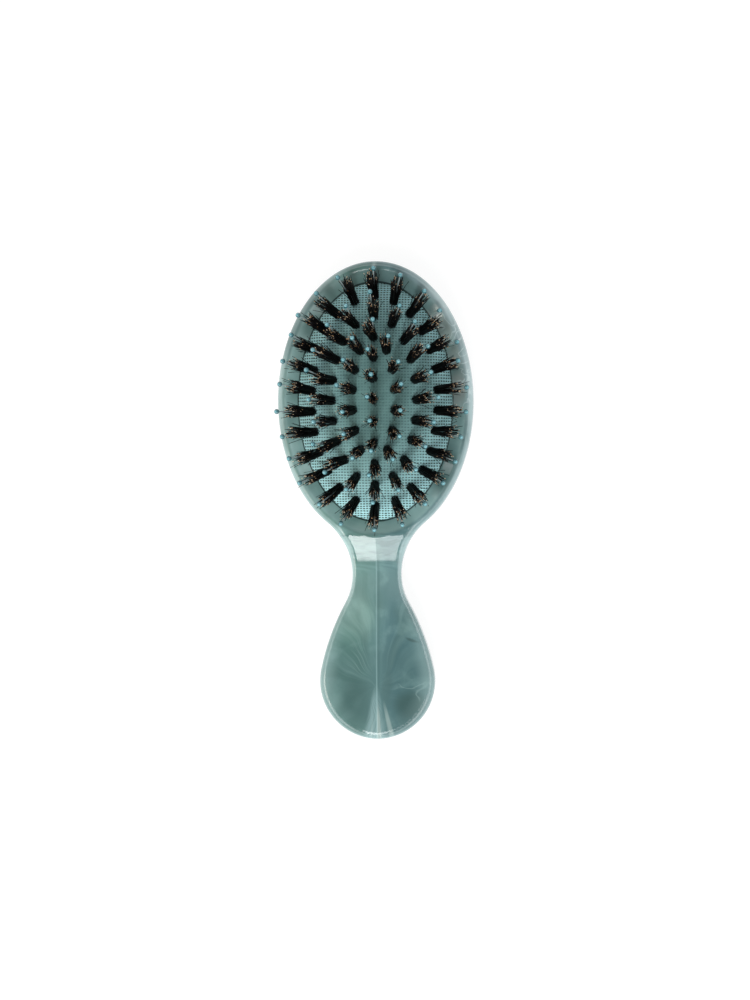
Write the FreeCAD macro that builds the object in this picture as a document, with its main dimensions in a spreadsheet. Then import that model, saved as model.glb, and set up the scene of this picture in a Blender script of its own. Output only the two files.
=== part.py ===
# Pocket hairbrush: a moulded handle with a dished oval head, a domed air cushion faced with woven cloth,
# and four oval rows of bristle tufts, each with a ball-tipped quill through its middle.
# Millimetres. +Z points out of the bristles, +Y from the handle to the head, and the flat back lies on Z = 0.
# The origin is on the back, under the middle of the brush's length.
import FreeCAD, Part
import math
import os

import Sketcher

# Driving dimensions: alias, value, what it measures. Lengths are millimetres.
SIZES = [
    ("head_length", 82.0, "oval head along Y"),
    ("head_width", 57.4, "oval head across X"),
    ("handle_length", 58.0, "from the foot of the head's oval to the handle's end"),
    ("neck_width", 14.3, "narrowest place of the handle"),
    ("neck_drop", 9.9, "from the foot of the head's oval down to the neck"),
    ("grip_radius", 16.9, "round end of the handle"),
    ("flank_radius", 71.5, "long curve between the neck and the round end"),
    ("rim_height", 14.0, "rim of the head above the back"),
    ("neck_height", 11.8, "ridge at the neck above the back"),
    ("neck_hollow", 27.0, "radius of the front's hollow at the neck, seen from the side"),
    ("shoulder_radius", 3.0, "rounding where the hollow leaves the rim"),
    ("grip_height", 13.8, "ridge at the middle of the grip above the back"),
    ("ridge_slope", 3.0, "fall of the handle's two front faces from the ridge, degrees"),
    ("back_radius", 6.0, "rounding of the back's edge"),
    ("head_roll", 2.8, "roll of the front's edge round the head"),
    ("neck_roll", 1.8, "roll of the front's edge at the neck"),
    ("grip_roll", 2.9, "roll of the front's edge at the sides of the grip"),
    ("end_roll", 2.1, "roll of the front's edge at the handle's end"),
    ("crest_radius", 1.2, "rounding between the head's roll and its dish"),
    ("rim_across", 1.75, "rolled rim at the head's sides, from the outline to the dish"),
    ("rim_along", 1.85, "rolled rim at the head's ends, from the outline to the dish"),
    ("dish_bevel", 4.2, "width of the sloping band between the rim and the cushion"),
    ("dish_depth", 2.3, "depth of the sloping band"),
    ("dish_setback", 0.15, "dish and cushion lie this far towards the handle from the head's middle"),
    ("back_wall", 3.5, "thickness of the back under the air chamber"),
    ("bead_depth", 1.6, "how far the cushion's bead reaches into the head"),
    ("bead_height", 1.6, "thickness of the cushion's bead"),
    ("bead_clearance", 0.1, "room around the bead in its groove"),
    ("skirt_height", 1.2, "upright edge of the cushion between its bead and its dome"),
    ("skirt_clearance", 0.2, "room between the skirt and the head"),
    ("cushion_crown", 9.0, "rise of the cloth's dome above its edge"),
    ("dome_latitude", 45.0, "latitude of the ellipsoid at which the dome is cut off, degrees"),
    ("cloth_thickness", 0.4, "woven cloth facing"),
    ("rubber_thickness", 1.5, "rubber of the cushion"),
    ("bond_gap", 0.02, "adhesive between cloth and rubber"),
    ("edge_margin", 4.4, "from the cushion's edge to the outer row of tufts"),
    ("outer_tufts", 26, "tufts in the outer row, a count"),
    ("second_tufts", 20, "tufts in the second row, a count"),
    ("third_tufts", 14, "tufts in the third row, a count"),
    ("centre_tufts", 5, "tufts in the straight row along the middle, a count"),
    ("tuft_length", 12.0, "bristles above the cloth"),
    ("tuft_root", 2.5, "diameter of the bound root of a tuft"),
    ("tuft_spread", 3.6, "diameter of a tuft at its tip"),
    ("tuft_crown", 0.9, "rise of the tuft's rounded tip"),
    ("root_clearance", 0.1, "room around a root in its hole"),
    ("quill_length", 15.5, "quill above the cloth, to the middle of its ball"),
    ("quill_diameter", 0.7, "shaft of the quill"),
    ("quill_clearance", 0.05, "room around the quill inside its tuft"),
    ("ball_diameter", 1.46, "ball tip of the quill"),
    ("foot_diameter", 3.2, "flat foot of the quill behind the rubber"),
    ("foot_thickness", 0.8, "flat foot of the quill"),
    ("foot_clearance", 0.1, "room between the foot and what lies on it"),
    ("overrun", 5.0, "how far cutting shapes run past what they cut"),
]

# Shares, which no length changes.
NECK_CURVE_SHARE = 0.446  # lower neck curve, of the largest radius that still leaves room for a flank
BACK_ROUND_SHARE = 0.85  # most of the neck's half width that the back's rounding may take
UPRIGHT_SHARE = 0.01  # a wall counts as upright when its normal leans less than this
LEVEL_SHARE = 0.001  # two places are level when their heights differ by less than this share of the rim's
SEARCH_SHARE = 0.000001  # the search for a touching curve ends at this share of the head's length
ROW_INSETS = 3  # the outer row lies this many row pitches outside the centre row
FOOT_ROOM_SHARE = 1.2  # least distance on the cloth from the centre row to the third, of a foot's diameter

# Places and sizes that follow from the driving ones, as expressions of the sheet.
HALF_LENGTH = "(Sizes.head_length + Sizes.handle_length) / 2"
HEAD_MIDDLE = "Sizes.handle_length / 2"
HEAD_FOOT = f"({HEAD_MIDDLE} - Sizes.head_length / 2)"
NECK_PLACE = f"({HEAD_FOOT} - Sizes.neck_drop)"
GRIP_MIDDLE = f"(Sizes.grip_radius - {HALF_LENGTH})"
# The lower neck curve has to stay clear of the round end: past this radius the two circles would touch.
NECK_TO_GRIP = f"({NECK_PLACE} - {GRIP_MIDDLE})"
TOUCHING_RADIUS = (
    f"(({NECK_TO_GRIP} * {NECK_TO_GRIP} + Sizes.neck_width * Sizes.neck_width / 4"
    " - Sizes.grip_radius * Sizes.grip_radius) / (2 * Sizes.grip_radius - Sizes.neck_width))"
)
LOWER_NECK_RADIUS = f"{NECK_CURVE_SHARE} * {TOUCHING_RADIUS}"
CUT_TOP = "(Sizes.rim_height + Sizes.overrun)"
PAST_END = f"(-{HALF_LENGTH} - Sizes.overrun)"
HOLLOW_MIDDLE = "(Sizes.neck_height + Sizes.neck_hollow)"
# The grip's swell touches the hollow and is highest at the middle of the grip: its radius follows.
HOLLOW_OVER_SWELL = f"({HOLLOW_MIDDLE} - Sizes.grip_height)"
SWELL_RADIUS = (
    f"(({NECK_TO_GRIP} * {NECK_TO_GRIP} + {HOLLOW_OVER_SWELL} * {HOLLOW_OVER_SWELL}"
    f" - Sizes.neck_hollow * Sizes.neck_hollow) / (2 * (Sizes.neck_hollow - {HOLLOW_OVER_SWELL})))"
)
SWELL_MIDDLE = f"(Sizes.grip_height - {SWELL_RADIUS})"
BACK_ROUND = f"min(Sizes.back_radius; {BACK_ROUND_SHARE} * Sizes.neck_width / 2)"
DISH_MIDDLE = f"({HEAD_MIDDLE} - Sizes.dish_setback)"
DISH_WIDTH = "(Sizes.head_width - 2 * Sizes.rim_across)"
DISH_LENGTH = "(Sizes.head_length - 2 * Sizes.rim_along)"
OPENING_WIDTH = f"({DISH_WIDTH} - 2 * Sizes.dish_bevel)"
OPENING_LENGTH = f"({DISH_LENGTH} - 2 * Sizes.dish_bevel)"
CUSHION_WIDTH = f"({OPENING_WIDTH} - 2 * Sizes.skirt_clearance)"
CUSHION_LENGTH = f"({OPENING_LENGTH} - 2 * Sizes.skirt_clearance)"
CUSHION_EDGE = "(Sizes.rim_height - Sizes.dish_depth)"
BEAD_TOP = f"({CUSHION_EDGE} - Sizes.skirt_height)"
BEAD_BOTTOM = f"({BEAD_TOP} - Sizes.bead_height)"

# The dome is the cap of an ellipsoid whose middle lies under the cushion.
DOME_UP = "(Sizes.cushion_crown / (1 - sin(Sizes.dome_latitude)))"
DOME_ACROSS = f"({CUSHION_WIDTH} / 2 / cos(Sizes.dome_latitude))"
DOME_ALONG = f"({CUSHION_LENGTH} / 2 / cos(Sizes.dome_latitude))"
DOME_SUNK = f"({DOME_UP} * sin(Sizes.dome_latitude))"
DOME_MIDDLE = f"({CUSHION_EDGE} - {DOME_SUNK})"
RUBBER_INSET = "(Sizes.cloth_thickness + Sizes.bond_gap)"
VOID_INSET = f"({RUBBER_INSET} + Sizes.rubber_thickness)"

doc = FreeCAD.newDocument("hairbrush")
sheet = doc.addObject("Spreadsheet::Sheet", "Sizes")


def fill_sheet():
    """Writes every driving dimension as a plain number beside its meaning."""
    for row, (alias, size, meaning) in enumerate(SIZES, start=1):
        sheet.set(f"A{row}", meaning)
        sheet.set(f"B{row}", str(size))
        sheet.setAlias(f"B{row}", alias)
    doc.recompute()


def value(expression):
    """The number that an expression of the sheet stands for."""
    found = sheet.evalExpression(expression)
    return float(getattr(found, "Value", found))


def origin_plane(body, role):
    return next(feature for feature in body.Origin.OriginFeatures if feature.Role == role)


def new_sketch(body, name, role, height="0"):
    """A sketch on one of the body's own origin planes, raised along that plane's normal."""
    sketch = body.newObject("Sketcher::SketchObject", name)
    sketch.AttachmentSupport = (origin_plane(body, role), [""])
    sketch.MapMode = "FlatFace"
    sketch.setExpression("AttachmentOffset.Base.z", height)
    return sketch


def bind(sketch, constraint, expression):
    """Adds a dimension to a sketch and ties it to the sheet."""
    index = sketch.addConstraint(constraint)
    sketch.setExpression(f"Constraints[{index}]", expression)


def bind_point(sketch, geometry, end, across, up):
    """Ties a point of a sketch to its place from the sketch's origin."""
    for kind, expression in (("DistanceX", across), ("DistanceY", up)):
        bind(sketch, Sketcher.Constraint(kind, -1, 1, geometry, end, value(expression)), expression)


def bind_oval(sketch, geometry, middle, width, length):
    """Ties an ellipse, or an arc of one, to its middle on the Y axis, its width and its upright length."""
    inner = sketch.GeometryCount
    sketch.exposeInternalGeometry(geometry)
    long_axis, short_axis = inner, inner + 1
    sketch.addConstraint(Sketcher.Constraint("PointOnObject", geometry, 3, -2))
    sketch.addConstraint(Sketcher.Constraint("Vertical", long_axis))
    bind(sketch, Sketcher.Constraint("DistanceY", -1, 1, geometry, 3, value(middle)), middle)
    bind(sketch, Sketcher.Constraint("Distance", long_axis, value(length)), length)
    bind(sketch, Sketcher.Constraint("Distance", short_axis, value(width)), width)


def upright_ellipse(middle, width, length):
    """An ellipse in the XY plane with its long axis along Y, starting at its top."""
    centre = FreeCAD.Vector(0, value(middle), 0)
    top = centre + FreeCAD.Vector(0, value(length) / 2, 0)
    side = centre + FreeCAD.Vector(-value(width) / 2, 0, 0)
    return Part.Ellipse(top, side, centre)


def oval_sketch(body, name, width, length, height):
    """A closed oval around the cushion's middle."""
    sketch = new_sketch(body, name, "XY_Plane", height)
    sketch.addGeometry(upright_ellipse(DISH_MIDDLE, width, length))
    bind_oval(sketch, 0, DISH_MIDDLE, width, length)
    return sketch


def polygon_sketch(body, name, role, height, corners):
    """A closed polygon whose corners are pairs of expressions."""
    sketch = new_sketch(body, name, role, height)
    points = [FreeCAD.Vector(value(across), value(up), 0) for across, up in corners]
    count = len(points)
    for index, point in enumerate(points):
        sketch.addGeometry(Part.LineSegment(point, points[(index + 1) % count]))
    for index in range(count):
        sketch.addConstraint(Sketcher.Constraint("Coincident", index, 2, (index + 1) % count, 1))
    for index, (across, up) in enumerate(corners):
        bind_point(sketch, index, 1, across, up)
    return sketch


def grow(body, kind, name, profile, length, turned=False):
    """A pad upwards or a pocket downwards from its sketch, or the other way when turned."""
    feature = body.newObject(f"PartDesign::{kind}", name)
    feature.Profile = profile
    feature.setExpression("Length", length)
    feature.Reversed = turned
    doc.recompute()
    return feature


def loft(body, kind, name, sections):
    feature = body.newObject(f"PartDesign::{kind}", name)
    feature.Profile = sections[0]
    feature.Sections = sections[1:]
    doc.recompute()
    return feature


def edge_names(shape, chosen):
    """Names that a shape gives to some of its edges."""
    names = [f"Edge{number}" for number in range(1, len(shape.Edges) + 1)]
    return [name for name, edge in zip(names, shape.Edges) if any(edge.isSame(one) for one in chosen)]


def round_edges(body, name, edges, radius):
    base = body.Tip
    fillet = body.newObject("PartDesign::Fillet", name)
    fillet.Base = (base, edges)
    fillet.setExpression("Radius", radius)
    doc.recompute()


def circle_arc(centre, start, end):
    """The arc about a centre that runs counter-clockwise between two points."""
    spoke = start - centre
    first = math.atan2(spoke.y, spoke.x)
    last = math.atan2(end.y - centre.y, end.x - centre.x)
    if last <= first:
        last += 2 * math.pi
    circle = Part.Circle(centre, FreeCAD.Vector(0, 0, 1), spoke.Length)
    return Part.ArcOfCircle(circle, first, last)


def upper_neck_curve(neck, head):
    """Centre of the curve from the upright neck to the head's oval, and the point where they touch."""
    edge = head.toShape()
    least, most = 0.0, value("Sizes.head_length")
    while most - least > SEARCH_SHARE * value("Sizes.head_length"):
        radius = (least + most) / 2
        centre = neck + FreeCAD.Vector(radius, 0, 0)
        distance, pairs, _ = Part.Vertex(centre).distToShape(edge)
        if distance > radius:
            least = radius
        else:
            most = radius
    return centre, pairs[0][1]


def flank_centre(grip, grip_radius, bend, bend_radius, flank_radius):
    """Centre of the long curve that touches the round end from outside its circle and the neck's curve."""
    to_grip = flank_radius - grip_radius
    to_bend = flank_radius + bend_radius
    line = bend - grip
    along = (to_grip**2 - to_bend**2 + line.Length**2) / (2 * line.Length)
    aside = math.sqrt(to_grip**2 - along**2)
    line.normalize()
    left = FreeCAD.Vector(-line.y, line.x, 0)
    return grip + line * along + left * aside


def outline_sketch(body):
    """Right half of the brush from above: the head's oval, two neck curves, a flank and the round end."""
    sketch = new_sketch(body, "outline", "XY_Plane")
    head = upright_ellipse(HEAD_MIDDLE, "Sizes.head_width", "Sizes.head_length")
    neck = FreeCAD.Vector(value("Sizes.neck_width") / 2, value(NECK_PLACE), 0)
    grip = FreeCAD.Vector(0, value(GRIP_MIDDLE), 0)
    grip_radius = value("Sizes.grip_radius")
    bend_radius = value(LOWER_NECK_RADIUS)
    flank_radius = value("Sizes.flank_radius")
    upper, touch = upper_neck_curve(neck, head)
    bend = neck + FreeCAD.Vector(bend_radius, 0, 0)
    flank = flank_centre(grip, grip_radius, bend, bend_radius, flank_radius)
    flank_top = bend + (flank - bend).normalize() * bend_radius
    flank_foot = flank + (grip - flank).normalize() * flank_radius
    top = FreeCAD.Vector(0, value(HALF_LENGTH), 0)
    foot = FreeCAD.Vector(0, -value(HALF_LENGTH), 0)

    curves = [
        Part.ArcOfEllipse(head, head.parameter(touch), 2 * math.pi),
        Part.LineSegment(top, foot),
        circle_arc(grip, foot, flank_foot),
        circle_arc(flank, flank_foot, flank_top),
        circle_arc(bend, neck, flank_top),
        circle_arc(upper, touch, neck),
    ]
    oval, middle, end, flank_arc, lower_bend, upper_bend = range(len(curves))
    for curve in curves:
        sketch.addGeometry(curve)
    start, finish = 1, 2
    joins = [
        ("Coincident", oval, finish, middle, start),
        ("Coincident", middle, finish, end, start),
        ("Tangent", end, finish, flank_arc, start),
        ("Tangent", flank_arc, finish, lower_bend, finish),
        ("Tangent", lower_bend, start, upper_bend, finish),
        ("Tangent", upper_bend, start, oval, start),
        ("PointOnObject", middle, start, -2),
        ("PointOnObject", middle, finish, -2),
        ("PointOnObject", end, 3, -2),
    ]
    for join in joins:
        sketch.addConstraint(Sketcher.Constraint(*join))
    bind_oval(sketch, oval, HEAD_MIDDLE, "Sizes.head_width", "Sizes.head_length")
    bind(sketch, Sketcher.Constraint("DistanceY", -1, 1, end, 3, grip.y), GRIP_MIDDLE)
    bind(sketch, Sketcher.Constraint("Radius", end, grip_radius), "Sizes.grip_radius")
    bind_point(sketch, lower_bend, start, "Sizes.neck_width / 2", NECK_PLACE)
    bind(sketch, Sketcher.Constraint("DistanceY", -1, 1, lower_bend, 3, neck.y), NECK_PLACE)
    bind(sketch, Sketcher.Constraint("Radius", lower_bend, bend_radius), LOWER_NECK_RADIUS)
    bind(sketch, Sketcher.Constraint("Radius", flank_arc, flank_radius), "Sizes.flank_radius")
    return sketch


def tilted_profile(body):
    """Side view of what is cut from the handle's front, tilted so that the cut falls towards +X."""
    sketch = new_sketch(body, "front_profile", "YZ_Plane")
    tilt = FreeCAD.Rotation(FreeCAD.Vector(1, 0, 0), value("Sizes.ridge_slope"))
    sketch.AttachmentOffset = FreeCAD.Placement(FreeCAD.Vector(), tilt)
    sketch.setExpression("AttachmentOffset.Rotation.Angle", "Sizes.ridge_slope")
    hollow = FreeCAD.Vector(value(NECK_PLACE), value(HOLLOW_MIDDLE), 0)
    swell = FreeCAD.Vector(value(GRIP_MIDDLE), value(SWELL_MIDDLE), 0)
    top = value(CUT_TOP)
    past_end = value(PAST_END)
    hollow_radius = value("Sizes.neck_hollow")
    swell_radius = value(SWELL_RADIUS)
    meeting = hollow + (swell - hollow).normalize() * hollow_radius
    upper = FreeCAD.Vector(hollow.x + math.sqrt(hollow_radius**2 - (hollow.y - top) ** 2), top, 0)
    lower = FreeCAD.Vector(past_end, swell.y + math.sqrt(swell_radius**2 - (past_end - swell.x) ** 2), 0)
    corner = FreeCAD.Vector(past_end, top, 0)
    sketch.addGeometry(circle_arc(hollow, meeting, upper))
    sketch.addGeometry(circle_arc(swell, meeting, lower))
    sketch.addGeometry(Part.LineSegment(lower, corner))
    sketch.addGeometry(Part.LineSegment(corner, upper))
    hollow_arc, swell_arc, end_line, top_line = range(4)
    start, finish = 1, 2
    sketch.addConstraint(Sketcher.Constraint("Tangent", hollow_arc, start, swell_arc, start))
    sketch.addConstraint(Sketcher.Constraint("Coincident", swell_arc, finish, end_line, start))
    sketch.addConstraint(Sketcher.Constraint("Coincident", end_line, finish, top_line, start))
    sketch.addConstraint(Sketcher.Constraint("Coincident", top_line, finish, hollow_arc, finish))
    sketch.addConstraint(Sketcher.Constraint("Vertical", end_line))
    sketch.addConstraint(Sketcher.Constraint("Horizontal", top_line))
    bind_point(sketch, hollow_arc, 3, NECK_PLACE, HOLLOW_MIDDLE)
    bind(sketch, Sketcher.Constraint("Radius", hollow_arc, hollow_radius), "Sizes.neck_hollow")
    bind_point(sketch, swell_arc, 3, GRIP_MIDDLE, SWELL_MIDDLE)
    bind_point(sketch, end_line, finish, PAST_END, CUT_TOP)
    return sketch


def level(height, other):
    return abs(height - other) < LEVEL_SHARE * value("Sizes.rim_height")


def shoulder_edge(shape):
    """Name of the edge where the head's rim breaks off into the hollow of the neck."""
    top = value("Sizes.rim_height")
    flats = [face for face in shape.Faces if level(face.BoundBox.ZMin, top)]
    rim = max(flats, key=lambda face: face.BoundBox.YMax)
    return edge_names(shape, [min(rim.Edges, key=lambda edge: edge.CenterOfMass.y)])


def back_edges(shape):
    """Names of the edges of the flat back that lie on the outline, which has no straight stretch."""
    back = min(shape.Faces, key=lambda face: face.CenterOfMass.z)
    return edge_names(shape, [edge for edge in back.Edges if edge.Curve.TypeId != "Part::GeomLine"])


def wall_top_edges(shape):
    """Edges where the upright outer walls of a right half end at the front."""
    aside = value("Sizes.neck_roll")
    high = value(BACK_ROUND) + aside
    chosen = []
    for face in shape.Faces:
        first_u, last_u, first_v, last_v = face.ParameterRange
        lean = face.normalAt((first_u + last_u) / 2, (first_v + last_v) / 2).z
        if abs(lean) < UPRIGHT_SHARE:
            boxes = [(edge, edge.BoundBox) for edge in face.Edges]
            chosen += [edge for edge, box in boxes if box.ZMin > high and box.XMax > aside]
    return chosen


def crest_edges(shape):
    """Names of the edges where the head's roll meets its dish."""
    foot = value(CUSHION_EDGE)
    halfway = foot + value("Sizes.dish_depth") / 2
    dish = [face for face in shape.Faces if any(level(edge.CenterOfMass.z, foot) for edge in face.Edges)]
    return edge_names(shape, [edge for face in dish for edge in face.Edges if edge.CenterOfMass.z > halfway])


def roll_at(point):
    """Radius of the front's roll at a point of its edge, even between the places that have a size."""
    stations = [
        (f"-{HALF_LENGTH}", "Sizes.end_roll"),
        (GRIP_MIDDLE, "Sizes.grip_roll"),
        (NECK_PLACE, "Sizes.neck_roll"),
        (HEAD_FOOT, "Sizes.head_roll"),
    ]
    stations = [(value(place), value(roll)) for place, roll in stations]
    for (low, low_roll), (high, high_roll) in zip(stations, stations[1:]):
        if point.y < high:
            return low_roll + (high_roll - low_roll) * (point.y - low) / (high - low)
    return high_roll


def make_half():
    """Right half of the handle and head: the blank with its front cut and its edges rounded."""
    body = doc.addObject("PartDesign::Body", "right_half")
    grow(body, "Pad", "blank", outline_sketch(body), "Sizes.rim_height")
    front = grow(body, "Pocket", "front", tilted_profile(body), "2 * Sizes.head_width")
    front.SideType = "Symmetric"
    doc.recompute()
    round_edges(body, "shoulder", shoulder_edge(body.Shape), "Sizes.shoulder_radius")
    round_edges(body, "back_rounding", back_edges(body.Shape), BACK_ROUND)
    roll = doc.addObject("Part::Fillet", "front_roll")
    roll.Base = body
    chosen = wall_top_edges(body.Shape)
    rolled = []
    for number, edge in enumerate(body.Shape.Edges, start=1):
        if any(edge.isSame(one) for one in chosen):
            lower, upper = sorted((vertex.Point for vertex in edge.Vertexes), key=lambda point: point.y)
            rolled.append((number, roll_at(upper), roll_at(lower)))
    roll.Edges = rolled
    doc.recompute()
    return roll


def make_handle():
    """Handle and head in one moulding, with the dish, the air chamber and the bead's groove."""
    body = doc.addObject("PartDesign::Body", "handle_body")
    body.BaseFeature = make_half()
    doc.recompute()
    whole = body.newObject("PartDesign::Mirrored", "both_halves")
    whole.TransformMode = "Whole shape"
    whole.MirrorPlane = (origin_plane(body, "YZ_Plane"), [""])
    body.Tip = whole
    doc.recompute()

    opening = oval_sketch(body, "opening", OPENING_WIDTH, OPENING_LENGTH, CUT_TOP)
    grow(body, "Pocket", "air_chamber", opening, f"{CUT_TOP} - Sizes.back_wall")
    wide = oval_sketch(
        body,
        "dish_wide",
        f"{DISH_WIDTH} + 2 * Sizes.dish_bevel",
        f"{DISH_LENGTH} + 2 * Sizes.dish_bevel",
        "Sizes.rim_height + Sizes.dish_depth",
    )
    narrow = oval_sketch(
        body,
        "dish_narrow",
        f"{OPENING_WIDTH} - 2 * Sizes.dish_bevel",
        f"{OPENING_LENGTH} - 2 * Sizes.dish_bevel",
        f"{CUSHION_EDGE} - Sizes.dish_depth",
    )
    loft(body, "SubtractiveLoft", "dish", [wide, narrow])
    round_edges(body, "crest", crest_edges(body.Shape), "Sizes.crest_radius")
    reach = "2 * (Sizes.bead_depth + Sizes.bead_clearance)"
    groove = oval_sketch(
        body,
        "bead_groove",
        f"{OPENING_WIDTH} + {reach}",
        f"{OPENING_LENGTH} + {reach}",
        f"{BEAD_TOP} + Sizes.bead_clearance",
    )
    grow(body, "Pocket", "groove", groove, "Sizes.bead_height + 2 * Sizes.bead_clearance")
    return body


def dome(body, kind, name, inset, lowest):
    """Adds or cuts away the cushion's ellipsoid, drawn in by an inset, above a latitude."""
    feature = body.newObject(f"PartDesign::{kind}Ellipsoid", name)
    feature.AttachmentSupport = (origin_plane(body, "XY_Plane"), [""])
    feature.MapMode = "FlatFace"
    feature.setExpression("AttachmentOffset.Base.y", DISH_MIDDLE)
    feature.setExpression("AttachmentOffset.Base.z", DOME_MIDDLE)
    feature.setExpression("Radius1", f"{DOME_UP} - {inset}")
    feature.setExpression("Radius2", f"{DOME_ACROSS} - {inset}")
    feature.setExpression("Radius3", f"{DOME_ALONG} - {inset}")
    feature.setExpression("Angle1", lowest)
    doc.recompute()


def edge_latitude(inset):
    """Latitude at which an ellipsoid drawn in by an inset crosses the plane of the cushion's edge."""
    return f"asin({DOME_SUNK} / ({DOME_UP} - {inset}))"


def make_rubber():
    """Rubber dome with an upright skirt and a bead that is held in the head's groove."""
    body = doc.addObject("PartDesign::Body", "rubber_blank")
    bead = oval_sketch(
        body,
        "bead",
        f"{OPENING_WIDTH} + 2 * Sizes.bead_depth",
        f"{OPENING_LENGTH} + 2 * Sizes.bead_depth",
        BEAD_BOTTOM,
    )
    grow(body, "Pad", "bead_ring", bead, "Sizes.bead_height")
    skirt = oval_sketch(body, "skirt", CUSHION_WIDTH, CUSHION_LENGTH, BEAD_BOTTOM)
    grow(body, "Pad", "skirt_ring", skirt, "Sizes.bead_height + Sizes.skirt_height")
    dome(body, "Additive", "rubber_dome", RUBBER_INSET, edge_latitude(RUBBER_INSET))
    dome(body, "Subtractive", "rubber_void", VOID_INSET, edge_latitude(VOID_INSET))
    shrink = f"cos({edge_latitude(VOID_INSET)})"
    inside = oval_sketch(
        body,
        "inside",
        f"2 * ({DOME_ACROSS} - {VOID_INSET}) * {shrink}",
        f"2 * ({DOME_ALONG} - {VOID_INSET}) * {shrink}",
        CUSHION_EDGE,
    )
    grow(body, "Pocket", "skirt_void", inside, "Sizes.skirt_height + Sizes.bead_height + Sizes.overrun")
    return body


def make_cloth():
    """Woven cloth stretched over the rubber dome and bonded to it."""
    body = doc.addObject("PartDesign::Body", "cloth_blank")
    dome(body, "Additive", "cloth_dome", "0", "Sizes.dome_latitude")
    dome(body, "Subtractive", "cloth_void", "Sizes.cloth_thickness", "-90")
    return body


def make_tuft():
    """One tuft standing at the origin: bound root below, flared bristles above, a bore for its quill."""
    body = doc.addObject("PartDesign::Body", "tuft")
    bore = "(Sizes.quill_diameter / 2 + Sizes.quill_clearance)"
    corners = [
        (bore, f"-{VOID_INSET}"),
        ("Sizes.tuft_root / 2", f"-{VOID_INSET}"),
        ("Sizes.tuft_root / 2", "Sizes.cloth_thickness"),
        ("Sizes.tuft_spread / 2", "Sizes.tuft_length - Sizes.tuft_crown"),
        (f"(Sizes.tuft_spread / 2 + {bore}) / 2", "Sizes.tuft_length - Sizes.tuft_crown / 4"),
        (bore, "Sizes.tuft_length"),
    ]
    sketch = polygon_sketch(body, "tuft_profile", "XZ_Plane", "0", corners)
    turned = body.newObject("PartDesign::Revolution", "tuft_turned")
    turned.Profile = sketch
    turned.ReferenceAxis = (sketch, ["V_Axis"])
    doc.recompute()
    return body


def make_quill():
    """One quill standing at the origin: a flat foot behind the rubber, a shaft and a ball."""
    foot_top = f"{VOID_INSET} + Sizes.foot_clearance"
    foot = doc.addObject("Part::Cylinder", "quill_foot")
    foot.setExpression("Radius", "Sizes.foot_diameter / 2")
    foot.setExpression("Height", "Sizes.foot_thickness")
    foot.setExpression("Placement.Base.z", f"-({foot_top} + Sizes.foot_thickness)")
    shaft = doc.addObject("Part::Cylinder", "quill_shaft")
    shaft.setExpression("Radius", "Sizes.quill_diameter / 2")
    shaft.setExpression("Height", f"Sizes.quill_length + {foot_top} + Sizes.foot_thickness / 2")
    shaft.setExpression("Placement.Base.z", f"-({foot_top} + Sizes.foot_thickness / 2)")
    ball = doc.addObject("Part::Sphere", "quill_ball")
    ball.setExpression("Radius", "Sizes.ball_diameter / 2")
    ball.setExpression("Placement.Base.z", "Sizes.quill_length")
    quill = doc.addObject("Part::MultiFuse", "quill")
    quill.Shapes = [foot, shaft, ball]
    quill.Refine = True
    doc.recompute()
    return quill


def on_dome(across, along):
    """Where a tuft stands: on the cloth over a place of the plan, square to the cloth."""
    radii = FreeCAD.Vector(value(DOME_ACROSS), value(DOME_ALONG), value(DOME_UP))
    middle = FreeCAD.Vector(0, value(DISH_MIDDLE), value(DOME_MIDDLE))
    rise = math.sqrt(1 - (across / radii.x) ** 2 - ((along - middle.y) / radii.y) ** 2)
    point = FreeCAD.Vector(across, along, middle.z + radii.z * rise)
    outward = point - middle
    normal = FreeCAD.Vector(outward.x / radii.x**2, outward.y / radii.y**2, outward.z / radii.z**2)
    return FreeCAD.Placement(point, FreeCAD.Rotation(FreeCAD.Vector(0, 0, 1), normal))


def centre_reach(oval):
    """How far the straight row can run inside an oval row before their feet come too near."""
    room = FOOT_ROOM_SHARE * value("Sizes.foot_diameter")
    return oval.Focal / 2 * math.sqrt(max(0, 1 - (room / oval.MinorRadius) ** 2))


def tuft_rows():
    """Places of the tufts: three ovals, evenly spaced along their length from the top, and a straight row."""
    half_width = f"({CUSHION_WIDTH} / 2 - Sizes.edge_margin)"
    half_length = f"({CUSHION_LENGTH} / 2 - Sizes.edge_margin)"
    pitch = f"{half_width} / {ROW_INSETS}"
    rows = {}
    for step, name in enumerate(("outer", "second", "third")):
        oval = upright_ellipse(
            DISH_MIDDLE,
            f"2 * ({half_width} - {step} * {pitch})",
            f"2 * ({half_length} - {step} * {pitch})",
        )
        count = round(value(f"Sizes.{name}_tufts"))
        points = oval.toShape().discretize(Number=count + 1)[:-1]
        rows[name] = [on_dome(point.x, point.y) for point in points]
    middle = value(DISH_MIDDLE)
    reach = min(value(f"{half_length} - {half_width}"), centre_reach(oval))
    last = round(value("Sizes.centre_tufts")) - 1
    rows["centre"] = [on_dome(0, middle + reach * (1 - 2 * index / last)) for index in range(last + 1)]
    return rows


def standing_copies(name, master, places):
    """A group of separate copies of one piece, each square to the dome."""
    group = doc.addObject("Part::Feature", name)
    group.Shape = Part.makeCompound([master.Shape.transformed(place.toMatrix()) for place in places])
    return group


def pierced(name, blank, drills):
    cut = doc.addObject("Part::Cut", name)
    cut.Base = blank
    cut.Tool = drills
    doc.recompute()
    return cut


def make_drill():
    drill = doc.addObject("Part::Cylinder", "drill")
    drill.setExpression("Radius", "Sizes.tuft_root / 2 + Sizes.root_clearance")
    drill.setExpression("Height", f"2 * ({VOID_INSET} + Sizes.rubber_thickness)")
    drill.setExpression("Placement.Base.z", f"-({VOID_INSET} + Sizes.rubber_thickness)")
    doc.recompute()
    return drill


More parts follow.
